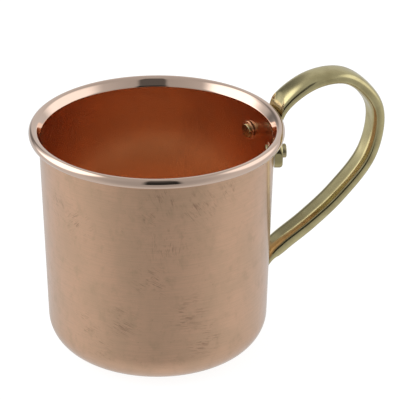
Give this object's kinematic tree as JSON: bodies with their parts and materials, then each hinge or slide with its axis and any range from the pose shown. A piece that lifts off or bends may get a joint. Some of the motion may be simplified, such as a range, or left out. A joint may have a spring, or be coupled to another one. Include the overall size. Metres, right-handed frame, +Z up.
{
  "type": "copper mug",
  "caption": "Straight-sided copper drinking mug with a rolled rim and a looped brass handle riveted to the wall through a curved cross bar.",
  "frame": {"origin": "centre of the flat base, on the surface that the mug stands on", "axes": "+Z up along the cup's axis, +X from the cup's axis towards the handle, so the handle lies in the XZ plane"},
  "size_m": [0.1366, 0.0932, 0.0989],
  "materials": {
    "copper_shell": "satin, finely brushed, polished rim",
    "brass_handle": "polished, lightly worn",
    "brass_rivets": "polished, dull at the edges",
    "copper_washers": "satin"
  },
  "bodies": {
    "root": {"cup_body": "copper_shell", "handle": "brass_handle", "upper_near_rivet": "brass_rivets", "upper_near_washer": "copper_washers", "upper_far_rivet": "brass_rivets", "upper_far_washer": "copper_washers", "lower_rivet": "brass_rivets", "lower_washer": "copper_washers"}
  },
  "joints": []
}
